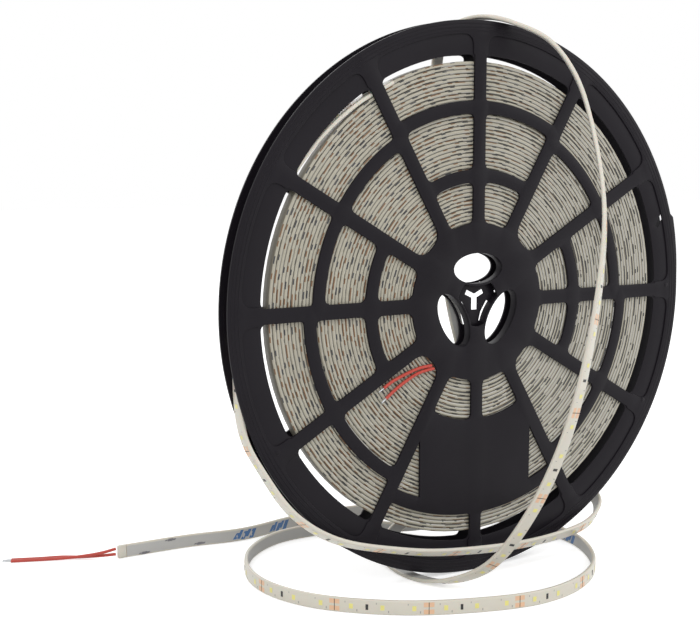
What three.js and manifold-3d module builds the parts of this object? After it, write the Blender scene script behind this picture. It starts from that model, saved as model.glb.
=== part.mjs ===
// LED strip light on a two-part spoked plastic reel, standing on its rim.
// Millimetres. The reel's axis is Y, its front flange faces -Y and +Z is up.
// The origin is on the axis, midway between the two flanges.
import * as THREE from "three";
import { mergeVertices } from "three/addons/utils/BufferGeometryUtils.js";
import Module from "manifold-3d";

const wasm = await Module();
wasm.setup();

// Strip
const STRIP_WIDTH = 8;
const STRIP_THICKNESS = 2.2;
const STRIP_EDGE_CHAMFER = 0.6;

// Reel
const FLANGE_RADIUS = 157.5;
const FLANGE_THICKNESS = 1.3;
const CHANNEL_SIDE_CLEARANCE = 0.4;
const HALVES_GAP = 0.3;
const RIM_WIDTH = 18.9;
const RIM_BAND_WIDTH = 7.6;
const RIM_POCKET_DEPTH = 0.5;
const RIM_FACETS = 120;
const SPOKE_COUNT = 12;
const SPOKE_WIDTH = 8;
const POCKET_SPOKE_WIDTH = 10;
const WINDOW_CORNER = 4;
const HUB_CORNER = 8;
const POCKET_CORNER = 7;

// Hub
const HUB_PLATE_RADIUS = 45;
const DRUM_RADIUS = 38;
const DRUM_WALL = 1.8;
const SPINDLE_HOLES = 3;
const SPINDLE_HOLE_CENTRE = 19.2;
const SPINDLE_HOLE_LENGTH = 34;
const SPINDLE_HOLE_WIDTH = 17.5;
const SLEEVE_WALL = 1.2;
const RECESS_RADIUS = 14;
const RECESS_WALL = 1.1;
const WEB_THICKNESS = 0.6;
const Y_SLOT_RISE = 2.9;
const Y_SLOT_ARM = 6;
const Y_SLOT_ARM_SLOPE = 25;
const Y_SLOT_ARM_WIDTH = 2.8;
const Y_SLOT_STEM = 8;
const Y_SLOT_STEM_WIDTH = 4;
const SLIT_WIDTH = 2.4;
const SLIT_COURSE = [
  [10, 0.4],
  [7, -6.6],
  [4.8, -12.6],
];

// Rings between the spokes
const INNER_RING_RADIUS = 67.9;
const INNER_RING_WIDTH = 7.4;
const LOW_RING_RADIUS = 100.8;
const HIGH_RING_RADIUS = 106.2;
const OUTER_RING_WIDTH = 7.2;
const LABEL_RING_RADIUS = 115.6;
const LABEL_RING_WIDTH = 8;
const LABEL_HALF_WIDTH = 39.4;

// Tie-off lip and slot on the rim
const LIP_ANGLE = 17;
const LIP_SPAN = 14;
const LIP_HEIGHT = 1.8;
const TIE_SLOT_LENGTH = 9;
const TIE_SLOT_WIDTH = 2.6;
const TIE_SLOT_INSET = 9.5;
const TIE_SLOT_TILT = 40;

// Wound strip
const COIL_RADIUS = 133;
const COIL_CORE_GAP = 0.3;
const COIL_RIDGES = 20;
const COIL_RIDGE_HEIGHT = 0.45;
const COIL_SEGMENTS = 32;

// Leads
const LEAD_DIAMETER = 1.8;
const LEAD_SIDES = 8;
const TIP_DIAMETER = 0.9;
const TOUCH_GAP = 0.3;
const END_SEAL_LENGTH = 5;
const END_SEAL_OVERHANG = 0.2;

const CHANNEL_WIDTH = STRIP_WIDTH + 2 * CHANNEL_SIDE_CLEARANCE;
const PLATE_INNER = CHANNEL_WIDTH / 2;
const PLATE_OUTER = PLATE_INNER + FLANGE_THICKNESS;
const HALF_START = HALVES_GAP / 2;
const OPENING_RADIUS = FLANGE_RADIUS - RIM_WIDTH;
const SECTOR = (2 * Math.PI) / SPOKE_COUNT;
const ROUND_STEPS = 2;
const CORNER_SHARE = 0.97;
const RECESS_FACETS = 24;
const CUT_MARGIN = 1;

// The strip's route: off the coil, between the flanges, past the lower rim in front,
// round behind and forward under the rim, up in front in a bow, over the top, down
// behind, and round a loop on the floor. Each point has the direction that the strip's
// lit side faces.
const STRIP_ROUTE = [
  { at: [-56.8, 0, 121.5], lit: [-0.42, 0, 0.91] },
  { at: [-81.2, 0, 108.2], lit: [-0.6, 0, 0.8] },
  { at: [-105, 0, 88], lit: [-0.77, 0, 0.64] },
  { at: [-131, 0, 52.2], lit: [-0.93, 0, 0.36] },
  { at: [-147, 0, 5.1], lit: [-1, 0, 0.03] },
  { at: [-149.8, 0, -34.6], lit: [-0.97, 0, -0.24] },
  { at: [-146.4, -0.6, -63.5], lit: [-0.91, 0, -0.41] },
  { at: [-138.8, -6, -81.5], lit: [-0.86, -0.03, -0.5] },
  { at: [-123.5, -10.6, -104.6], lit: [-0.74, -0.2, -0.64] },
  { at: [-100, -13.5, -121.5], lit: [-0.5, -0.4, -0.77] },
  { at: [-60, -16.9, -133.3], lit: [-0.22, -0.5, -0.84] },
  { at: [-27, -18, -139.2], lit: [-0.1, -0.6, -0.8] },
  { at: [41, -15.5, -144.1], lit: [0.1, -0.72, -0.68] },
  { at: [86, -9, -140.5], lit: [0.45, -0.8, -0.4] },
  { at: [102, 3, -132.5], lit: [1, 0.1, -0.1] },
  { at: [96, 17, -121.5], lit: [0.5, 0.85, 0.1] },
  { at: [70, 25, -113], lit: [0, 1, 0.05] },
  { at: [30, 44, -123], lit: [0, 1, 0] },
  { at: [-8, 53.5, -141], lit: [-0.25, 0.95, -0.1] },
  { at: [-32, 44, -151.8], lit: [-0.85, 0.4, -0.4] },
  { at: [-40, 20, -155.7], lit: [-0.05, 0, -1] },
  { at: [-39, -6, -156.1], lit: [0, -0.1, -1] },
  { at: [-32, -25, -153], lit: [-0.15, -0.6, -0.78] },
  { at: [-19.7, -43.4, -142], lit: [-0.2, -0.85, -0.48] },
  { at: [-9.5, -65, -110.5], lit: [-0.1, -0.95, -0.3] },
  { at: [2.5, -80.5, -64], lit: [0.17, -0.98, -0.1] },
  { at: [14.2, -85.2, -10.5], lit: [0.47, -0.88, 0] },
  { at: [28.5, -77, 50], lit: [0.72, -0.68, 0.15] },
  { at: [34.5, -62, 90], lit: [0.76, -0.6, 0.25] },
  { at: [37, -43, 125.2], lit: [0.7, -0.57, 0.42] },
  { at: [31.5, -26.5, 146], lit: [0.52, -0.45, 0.72] },
  { at: [19.5, -11.8, 156], lit: [0.25, -0.28, 0.93] },
  { at: [10, -2, 159.8], lit: [0.05, -0.05, 1] },
  { at: [1, 7, 159.2], lit: [-0.2, 0.3, 0.93] },
  { at: [-8, 14, 152.5], lit: [-0.35, 0.8, 0.5] },
  { at: [-15, 15, 138], lit: [-0.2, 0.97, 0.1] },
  { at: [-17, 10, 112], lit: [0, 1, 0] },
  { at: [-9.6, 8.4, 6], lit: [0, 1, 0] },
  { at: [3.4, 9.5, -40], lit: [0, 1, 0] },
  { at: [16, 17, -84], lit: [0, 1, 0.15] },
  { at: [19, 35, -122], lit: [0, 0.85, 0.5] },
  { at: [14, 55.5, -147], lit: [0.2, 0.45, 0.9] },
  { at: [0, 77, -153.4], lit: [0.7, 0.45, 0.5] },
  { at: [-22, 93.5, -153], lit: [0.35, 0.95, 0] },
  { at: [-50, 99, -153.3], lit: [-0.05, 1, 0] },
  { at: [-78, 96, -153.3], lit: [-0.3, 1, 0] },
  { at: [-105, 77, -153.3], lit: [-0.7, 0.7, 0] },
  { at: [-121.5, 47, -153.3], lit: [-0.95, 0.3, 0] },
  { at: [-123.5, 17, -153.3], lit: [-1, -0.1, 0] },
  { at: [-111, -14, -153.3], lit: [-0.75, -0.6, 0] },
  { at: [-78.5, -45, -153.3], lit: [-0.5, -0.85, 0] },
  { at: [-43, -62, -153.3], lit: [-0.3, -0.95, 0] },
  { at: [-6, -70.5, -153.3], lit: [0, -1, 0] },
  { at: [27, -64.5, -153.3], lit: [0.35, -0.9, 0] },
  { at: [57, -44.5, -153.3], lit: [0.6, -0.75, 0] },
  { at: [77.5, -11, -153.3], lit: [0.9, -0.4, 0] },
  { at: [81.5, 16, -153.3], lit: [1, 0, 0] },
  { at: [76, 50, -153.3], lit: [0.95, 0.3, 0] },
  { at: [48, 97, -153.3], lit: [0.7, 0.7, 0] },
  { at: [2, 120, -153.3], lit: [0.1, 1, 0] },
  { at: [-46, 122.5, -153.3], lit: [-0.1, 1, 0] },
  { at: [-91.7, 114.5, -153.3], lit: [-0.05, 1, 0] },
  { at: [-127, 119.3, -153.3], lit: [0.03, 1, 0] },
  { at: [-167, 120.5, -153.3], lit: [0, 1, 0] },
];
const STRIP_STEPS = 84;

// The leads at the strip's outer end, on the floor, and at its inner end, on the coil's face.
const OUTER_LEAD_NEAR = [
  [-173.2, 121.3, -151.4],
  [-181.5, 122.6, -152.8],
  [-192.2, 129, -155],
  [-202, 135.2, -156.3],
  [-213.8, 140, -156.5],
  [-229.5, 146.2, -156.5],
];
const OUTER_LEAD_FAR = [
  [-173.2, 121.3, -154.7],
  [-181.5, 124.6, -155.2],
  [-191, 131.5, -156.2],
  [-201, 138.4, -156.5],
  [-212.8, 142.4, -156.5],
  [-228.5, 148.6, -156.5],
];
const INNER_LEAD_UPPER = [
  [-31.8, -5.2, -34.1],
  [-35, -5.2, -34.3],
  [-40, -5.2, -34.9],
  [-48.9, -5.2, -37.4],
  [-58.1, -5.2, -40.9],
  [-63.4, -5.2, -44],
];
const INNER_LEAD_LOWER = [
  [-30.2, -5.2, -36],
  [-34, -5.2, -36.3],
  [-40.8, -5.2, -37.7],
  [-47.5, -5.2, -40.7],
  [-55.4, -5.2, -45.2],
  [-62, -5.2, -50],
];
const OUTER_TIP_LENGTH = 5;
const INNER_TIP_LENGTH = 4;

const plastic = new THREE.MeshStandardMaterial({ color: 0x24212a, roughness: 0.45, metalness: 0 });
const silicone = new THREE.MeshStandardMaterial({ color: 0xd6d2c8, roughness: 0.4, metalness: 0 });
const coilEdge = new THREE.MeshStandardMaterial({ color: 0x969284, roughness: 0.55, metalness: 0 });
const redCover = new THREE.MeshStandardMaterial({ color: 0xb23a2c, roughness: 0.5, metalness: 0 });
const tin = new THREE.MeshStandardMaterial({ color: 0xb4b6b8, roughness: 0.35, metalness: 1 });

const radians = (degrees) => (degrees * Math.PI) / 180;

const polar = (radius, angle) =>
  new THREE.Vector2(radius * Math.cos(angle), radius * Math.sin(angle));

function solidOf(geometry) {
  geometry.deleteAttribute("normal");
  geometry.deleteAttribute("uv");
  const welded = mergeVertices(geometry, 1e-4);
  return new wasm.Manifold(
    new wasm.Mesh({
      numProp: 3,
      vertProperties: new Float32Array(welded.attributes.position.array),
      triVerts: new Uint32Array(welded.index.array),
    })
  );
}

function geometryOf(solid) {
  const mesh = solid.getMesh();
  const geometry = new THREE.BufferGeometry();
  geometry.setAttribute("position", new THREE.BufferAttribute(mesh.vertProperties, 3));
  geometry.setIndex(new THREE.BufferAttribute(mesh.triVerts, 1));
  geometry.computeVertexNormals();
  return geometry;
}

// A flat outline given a thickness from one height to another.
function slab(shape, from, to) {
  const geometry = new THREE.ExtrudeGeometry(shape, {
    depth: to - from,
    bevelEnabled: false,
    curveSegments: ROUND_STEPS,
  });
  geometry.translate(0, 0, from);
  return geometry;
}

function circlePoints(radius, count) {
  return Array.from({ length: count }, (_, i) => polar(radius, ((i + 0.5) * 2 * Math.PI) / count));
}

function ellipsePoints(length, width, count) {
  return circlePoints(1, count).map(
    (point) => new THREE.Vector2((point.x * length) / 2, (point.y * width) / 2)
  );
}

// A window between two spokes and two radii, with rounded corners.
function sectorWindow(sector, inner, outer, spokeWidth, innerCorner, outerCorner) {
  const from = sector * SECTOR;
  const to = from + SECTOR;
  const offset = (radius) => Math.asin(spokeWidth / 2 / radius);
  const startSide = (radius) => polar(radius, from + offset(radius));
  const endSide = (radius) => polar(radius, to - offset(radius));
  const innerHalf = (SECTOR / 2 - offset(inner)) * inner;
  const small = Math.min(innerCorner, CORNER_SHARE * innerHalf);
  const path = new THREE.Path();
  const begin = startSide(outer - outerCorner);
  path.moveTo(begin.x, begin.y);
  const outerFrom = from + offset(outer) + outerCorner / outer;
  const outerTo = to - offset(outer) - outerCorner / outer;
  const firstCorner = startSide(outer);
  const firstEnd = polar(outer, outerFrom);
  path.quadraticCurveTo(firstCorner.x, firstCorner.y, firstEnd.x, firstEnd.y);
  path.absarc(0, 0, outer, outerFrom, outerTo, false);
  const secondCorner = endSide(outer);
  const secondEnd = endSide(outer - outerCorner);
  path.quadraticCurveTo(secondCorner.x, secondCorner.y, secondEnd.x, secondEnd.y);
  const thirdStart = endSide(inner + small);
  path.lineTo(thirdStart.x, thirdStart.y);
  const thirdCorner = endSide(inner);
  const innerFrom = to - offset(inner) - small / inner;
  const innerTo = from + offset(inner) + small / inner;
  const thirdEnd = polar(inner, innerFrom);
  path.quadraticCurveTo(thirdCorner.x, thirdCorner.y, thirdEnd.x, thirdEnd.y);
  path.absarc(0, 0, inner, innerFrom, innerTo, true);
  const fourthCorner = startSide(inner);
  const fourthEnd = startSide(inner + small);
  path.quadraticCurveTo(fourthCorner.x, fourthCorner.y, fourthEnd.x, fourthEnd.y);
  path.lineTo(begin.x, begin.y);
  return path;
}

// The three-cornered window that the blank label plate leaves beside a spoke.
function labelWindow(side) {
  const spokeAngle = radians(-90) + side * SECTOR;
  const inward = -side * (SPOKE_WIDTH / 2);
  const normal = polar(inward, spokeAngle + Math.PI / 2);
  const along = polar(1, spokeAngle);
  const apexTravel = (side * LABEL_HALF_WIDTH - normal.x) / along.x;
  const apex = new THREE.Vector2(
    normal.x + along.x * apexTravel,
    normal.y + along.y * apexTravel
  );
  const footAngle = spokeAngle - side * Math.asin(SPOKE_WIDTH / 2 / LABEL_RING_RADIUS);
  const plateAngle = -Math.acos((side * LABEL_HALF_WIDTH) / LABEL_RING_RADIUS);
  const foot = polar(LABEL_RING_RADIUS, footAngle);
  const middle = polar(LABEL_RING_RADIUS, (footAngle + plateAngle) / 2);
  const plateFoot = polar(LABEL_RING_RADIUS, plateAngle);
  return new THREE.Path([apex, foot, middle, plateFoot, apex]);
}

// The rim's outline. The front one has a small tie-off lip that steps out and dies away.
function rimOutline(withLip) {
  const points = [];
  for (let i = 0; i < RIM_FACETS; i += 1) {
    const angle = ((i + 0.5) * 360) / RIM_FACETS;
    const past = LIP_ANGLE - angle;
    const onLip = withLip && past >= 0 && past < LIP_SPAN;
    const rise = onLip ? LIP_HEIGHT * (1 - past / LIP_SPAN) : 0;
    points.push(polar(FLANGE_RADIUS + rise, radians(angle)));
  }
  return points;
}

function bar(length, width, centre, angle) {
  const along = polar(length / 2, angle);
  const across = polar(width / 2, angle + Math.PI / 2);
  return [
    centre.clone().sub(along).sub(across),
    centre.clone().add(along).sub(across),
    centre.clone().add(along).add(across),
    centre.clone().sub(along).add(across),
  ];
}

// Which ring each of the twelve sectors has, counted from 3 o'clock upwards.
const SECTOR_RINGS = ["low", "low", "high", "high", "low", "low", "high", "high", "label", "label", "high", "high"];
const OPEN_TO_HUB = [1, 4, 7, 10];
const RING_RADII = { low: LOW_RING_RADIUS, high: HIGH_RING_RADIUS, label: LABEL_RING_RADIUS };

function flangeWindows() {
  const windows = [];
  SECTOR_RINGS.forEach((ring, sector) => {
    const ringInner = RING_RADII[ring];
    const ringOuter = ringInner + (ring === "label" ? LABEL_RING_WIDTH : OUTER_RING_WIDTH);
    windows.push(
      sectorWindow(sector, ringOuter, OPENING_RADIUS, SPOKE_WIDTH, WINDOW_CORNER / 2, WINDOW_CORNER)
    );
    if (OPEN_TO_HUB.includes(sector)) {
      windows.push(
        sectorWindow(sector, HUB_PLATE_RADIUS, ringInner, SPOKE_WIDTH, HUB_CORNER, WINDOW_CORNER)
      );
      return;
    }
    windows.push(
      sectorWindow(
        sector,
        HUB_PLATE_RADIUS,
        INNER_RING_RADIUS,
        SPOKE_WIDTH,
        WINDOW_CORNER,
        WINDOW_CORNER
      )
    );
    if (ring !== "label") {
      const innerRingOuter = INNER_RING_RADIUS + INNER_RING_WIDTH;
      windows.push(
        sectorWindow(sector, innerRingOuter, ringInner, SPOKE_WIDTH, WINDOW_CORNER, WINDOW_CORNER)
      );
    }
  });
  windows.push(labelWindow(-1), labelWindow(1));
  return windows;
}

const spindleAngle = (i) => radians(90) + (i * 2 * Math.PI) / SPINDLE_HOLES;

function spindleOutline(i, grow) {
  const angle = spindleAngle(i);
  const centre = polar(SPINDLE_HOLE_CENTRE, angle);
  const turned = angle - Math.PI / 2;
  return ellipsePoints(SPINDLE_HOLE_LENGTH + 2 * grow, SPINDLE_HOLE_WIDTH + 2 * grow, 20).map(
    (point) => point.rotateAround(new THREE.Vector2(), turned).add(centre)
  );
}

function flangePlate(withLip) {
  const shape = new THREE.Shape(rimOutline(withLip));
  const slotCentre = polar(FLANGE_RADIUS - TIE_SLOT_INSET, radians(LIP_ANGLE));
  const slotAngle = radians(LIP_ANGLE + TIE_SLOT_TILT);
  shape.holes.push(...flangeWindows());
  shape.holes.push(new THREE.Path(bar(TIE_SLOT_LENGTH, TIE_SLOT_WIDTH, slotCentre, slotAngle)));
  for (let i = 0; i < SPINDLE_HOLES; i += 1) {
    shape.holes.push(new THREE.Path(spindleOutline(i, 0)));
  }
  return solidOf(slab(shape, PLATE_INNER, PLATE_OUTER));
}

// The shallow pockets between the spokes' ends on the rim.
function rimPockets() {
  const pockets = [];
  for (let sector = 0; sector < SPOKE_COUNT; sector += 1) {
    const path = sectorWindow(
      sector,
      OPENING_RADIUS - POCKET_CORNER,
      FLANGE_RADIUS - RIM_BAND_WIDTH,
      POCKET_SPOKE_WIDTH,
      1,
      POCKET_CORNER
    );
    const shape = new THREE.Shape(path.getPoints(ROUND_STEPS));
    pockets.push(
      solidOf(slab(shape, PLATE_OUTER - RIM_POCKET_DEPTH, PLATE_OUTER + RIM_POCKET_DEPTH))
    );
  }
  return wasm.Manifold.union(pockets);
}

function tube(outer, inner) {
  const shape = new THREE.Shape(outer);
  shape.holes.push(new THREE.Path(inner));
  return solidOf(slab(shape, HALF_START, (PLATE_INNER + PLATE_OUTER) / 2));
}

// The half drum, the sleeves of the spindle holes and the wall round the centre recess.
function hubWalls() {
  const walls = [
    tube(circlePoints(DRUM_RADIUS, 48), circlePoints(DRUM_RADIUS - DRUM_WALL, 48)),
    tube(
      circlePoints(RECESS_RADIUS + RECESS_WALL, RECESS_FACETS),
      circlePoints(RECESS_RADIUS, RECESS_FACETS)
    ),
  ];
  for (let i = 0; i < SPINDLE_HOLES; i += 1) {
    walls.push(tube(spindleOutline(i, SLEEVE_WALL), spindleOutline(i, 0)));
  }
  return wasm.Manifold.union(walls);
}

function spindleSolids(grow) {
  const solids = [];
  for (let i = 0; i < SPINDLE_HOLES; i += 1) {
    const outline = new THREE.Shape(spindleOutline(i, grow));
    solids.push(solidOf(slab(outline, -CUT_MARGIN, PLATE_OUTER + CUT_MARGIN)));
  }
  return wasm.Manifold.union(solids);
}

// The sunk space at the centre, between the sleeves of the three spindle holes.
function centreRecess() {
  const circle = new THREE.Shape(circlePoints(RECESS_RADIUS, RECESS_FACETS));
  return solidOf(slab(circle, PLATE_INNER - CUT_MARGIN, PLATE_OUTER + CUT_MARGIN)).subtract(
    spindleSolids(SLEEVE_WALL)
  );
}

function webCut(outline) {
  return solidOf(slab(new THREE.Shape(outline), 0, HALF_START + WEB_THICKNESS + CUT_MARGIN));
}

// A straight slot that runs a little past both of its end points.
function slotBetween(from, to, width) {
  const way = to.clone().sub(from);
  const centre = from.clone().add(to).multiplyScalar(1 / 2);
  return webCut(bar(way.length() + width, width, centre, way.angle()));
}

// The web at the bottom of the recess, with its Y slot and the two bent slits beside it.
function centreWeb() {
  const disc = solidOf(
    slab(
      new THREE.Shape(circlePoints(RECESS_RADIUS + RECESS_WALL / 2, RECESS_FACETS)),
      HALF_START,
      HALF_START + WEB_THICKNESS
    )
  );
  const fork = new THREE.Vector2(0, Y_SLOT_RISE);
  const foot = new THREE.Vector2(0, Y_SLOT_RISE - Y_SLOT_STEM);
  const cuts = [slotBetween(fork, foot, Y_SLOT_STEM_WIDTH)];
  for (const side of [-1, 1]) {
    const arm = polar(Y_SLOT_ARM, radians(Y_SLOT_ARM_SLOPE)).add(fork);
    cuts.push(slotBetween(fork, new THREE.Vector2(side * arm.x, arm.y), Y_SLOT_ARM_WIDTH));
    const course = SLIT_COURSE.map(([x, y]) => new THREE.Vector2(side * x, y));
    cuts.push(slotBetween(course[0], course[1], SLIT_WIDTH));
    cuts.push(slotBetween(course[1], course[2], SLIT_WIDTH));
  }
  return disc.subtract(wasm.Manifold.union(cuts));
}

// One moulded half of the reel: a flange with half of the drum on its inner face.
function reelHalf(withLip) {
  const plate = flangePlate(withLip).subtract(rimPockets()).subtract(centreRecess());
  const hub = hubWalls().add(centreWeb()).subtract(spindleSolids(0));
  return geometryOf(plate.add(hub));
}

// The wound strip as one ring whose two faces carry the edges of its turns.
function woundStrip() {
  const inner = DRUM_RADIUS + COIL_CORE_GAP;
  const half = STRIP_WIDTH / 2;
  const pitch = (COIL_RADIUS - inner) / COIL_RIDGES;
  const rear = [];
  const front = [];
  for (let i = 0; i < COIL_RIDGES; i += 1) {
    const start = inner + i * pitch;
    rear.push(new THREE.Vector2(start, half - COIL_RIDGE_HEIGHT));
    rear.push(new THREE.Vector2(start + pitch / 2, half));
    front.push(new THREE.Vector2(start, COIL_RIDGE_HEIGHT - half));
    front.push(new THREE.Vector2(start + pitch / 2, -half));
  }
  rear.push(new THREE.Vector2(COIL_RADIUS, half - COIL_RIDGE_HEIGHT));
  front.push(new THREE.Vector2(COIL_RADIUS, COIL_RIDGE_HEIGHT - half));
  const profile = [...front, ...rear.reverse(), front[0].clone()];
  return new THREE.LatheGeometry(profile, COIL_SEGMENTS);
}

// A flat ribbon's path: the section's x runs along the lit side's direction.
class RibbonPath extends THREE.CatmullRomCurve3 {
  constructor(route) {
    super(
      route.map(({ at }) => new THREE.Vector3(...at)),
      false,
      "centripetal"
    );
    this.litWays = route.map(({ lit }) => new THREE.Vector3(...lit).normalize());
  }

  getPointAt(share, target) {
    return this.getPoint(share, target);
  }

  litAt(t) {
    const place = t * (this.litWays.length - 1);
    const i = Math.min(Math.floor(place), this.litWays.length - 2);
    return this.litWays[i].clone().lerp(this.litWays[i + 1], place - i);
  }

  computeFrenetFrames(segments) {
    const frames = { tangents: [], normals: [], binormals: [] };
    for (let i = 0; i <= segments; i += 1) {
      const t = i / segments;
      const tangent = this.getTangent(t);
      const lit = this.litAt(t);
      const normal = lit.addScaledVector(tangent, -lit.dot(tangent)).normalize();
      frames.tangents.push(tangent);
      frames.normals.push(normal);
      frames.binormals.push(new THREE.Vector3().crossVectors(tangent, normal));
    }
    return frames;
  }
}

// The strip's section, thin along x and wide along y, with its edges chamfered.
function stripSection() {
  const thick = STRIP_THICKNESS / 2;
  const wide = STRIP_WIDTH / 2;
  const edge = STRIP_EDGE_CHAMFER;
  return new THREE.Shape([
    new THREE.Vector2(-thick, -wide + edge),
    new THREE.Vector2(-thick + edge, -wide),
    new THREE.Vector2(thick - edge, -wide),
    new THREE.Vector2(thick, -wide + edge),
    new THREE.Vector2(thick, wide - edge),
    new THREE.Vector2(thick - edge, wide),
    new THREE.Vector2(-thick + edge, wide),
    new THREE.Vector2(-thick, wide - edge),
  ]);
}

function looseStrip() {
  return new THREE.ExtrudeGeometry(stripSection(), {
    steps: STRIP_STEPS,
    bevelEnabled: false,
    extrudePath: new RibbonPath(STRIP_ROUTE),
  });
}

// The soft plug that closes the strip's sleeve where the outer leads come out.
function endSeal() {
  const end = new THREE.Vector3(...STRIP_ROUTE.at(-1).at);
  const geometry = new THREE.BoxGeometry(
    END_SEAL_LENGTH,
    STRIP_THICKNESS + 2 * END_SEAL_OVERHANG,
    STRIP_WIDTH
  );
  geometry.translate(end.x - TOUCH_GAP - END_SEAL_LENGTH / 2, end.y, end.z);
  return geometry;
}

function roundWire(points, diameter, steps) {
  const curve = new THREE.CatmullRomCurve3(
    points.map((point) => new THREE.Vector3(...point)),
    false,
    "centripetal"
  );
  return new THREE.ExtrudeGeometry(new THREE.Shape(circlePoints(diameter / 2, LEAD_SIDES)), {
    steps,
    bevelEnabled: false,
    extrudePath: curve,
  });
}

// The bare tinned end, in line with the lead's last stretch.
function leadTip(points, length) {
  const end = new THREE.Vector3(...points.at(-1));
  const before = new THREE.Vector3(...points.at(-2));
  const way = end.clone().sub(before).normalize();
  const start = end.clone().addScaledVector(way, TOUCH_GAP);
  const finish = start.clone().addScaledVector(way, length);
  return roundWire([start.toArray(), finish.toArray()], TIP_DIAMETER, 1);
}

const group = new THREE.Group();

function add(name, geometry, material) {
  const mesh = new THREE.Mesh(geometry, material);
  mesh.name = name;
  group.add(mesh);
  return mesh;
}

const frontHalf = add("front_flange", reelHalf(true), plastic);
frontHalf.rotation.set(Math.PI / 2, 0, 0);
const rearHalf = add("rear_flange", reelHalf(false), plastic);
rearHalf.rotation.set(Math.PI / 2, 0, Math.PI, "ZYX");

add("wound_strip", woundStrip(), coilEdge);
add("loose_strip", looseStrip(), silicone);
add("end_seal", endSeal(), silicone);

const LEADS = [
  { name: "outer_lead_near", points: OUTER_LEAD_NEAR, tip: OUTER_TIP_LENGTH },
  { name: "outer_lead_far", points: OUTER_LEAD_FAR, tip: OUTER_TIP_LENGTH },
  { name: "inner_lead_upper", points: INNER_LEAD_UPPER, tip: INNER_TIP_LENGTH },
  { name: "inner_lead_lower", points: INNER_LEAD_LOWER, tip: INNER_TIP_LENGTH },
];
const LEAD_STEPS = 14;
for (const lead of LEADS) {
  add(lead.name, roundWire(lead.points, LEAD_DIAMETER, LEAD_STEPS), redCover);
  add(`${lead.name}_tip`, leadTip(lead.points, lead.tip), tin);
}

export default group;
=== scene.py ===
"""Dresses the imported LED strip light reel: camera, strip, leads, coil and reel halves."""

import math
from bisect import bisect_right

import bpy
import bmesh
from bpy.props import FloatProperty, FloatVectorProperty, IntProperty, PointerProperty
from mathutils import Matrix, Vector
from mathutils.geometry import delaunay_2d_cdt


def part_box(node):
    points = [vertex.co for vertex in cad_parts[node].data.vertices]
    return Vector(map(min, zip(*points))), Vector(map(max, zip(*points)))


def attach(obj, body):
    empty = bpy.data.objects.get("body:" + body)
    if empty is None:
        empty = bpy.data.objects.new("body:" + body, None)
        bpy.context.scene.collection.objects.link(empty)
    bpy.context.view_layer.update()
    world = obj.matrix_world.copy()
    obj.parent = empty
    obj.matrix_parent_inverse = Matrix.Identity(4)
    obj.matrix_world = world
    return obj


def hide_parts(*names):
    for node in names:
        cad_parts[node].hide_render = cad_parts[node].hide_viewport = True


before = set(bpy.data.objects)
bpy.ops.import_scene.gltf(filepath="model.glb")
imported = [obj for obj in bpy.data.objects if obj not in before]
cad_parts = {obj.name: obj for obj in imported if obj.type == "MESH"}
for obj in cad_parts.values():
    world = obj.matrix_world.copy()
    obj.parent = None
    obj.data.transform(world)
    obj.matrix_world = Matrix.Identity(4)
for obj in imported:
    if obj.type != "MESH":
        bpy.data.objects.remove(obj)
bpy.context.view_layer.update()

bl_info = {
    "name": "LED strip light reel",
    "version": (1, 0, 0),
    "blender": (4, 5, 0),
    "location": "View3D > Sidebar > Strip reel",
    "description": "Builds a spoked reel wound with LED strip light",
    "category": "Add Mesh",
}

MM = 0.001

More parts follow.
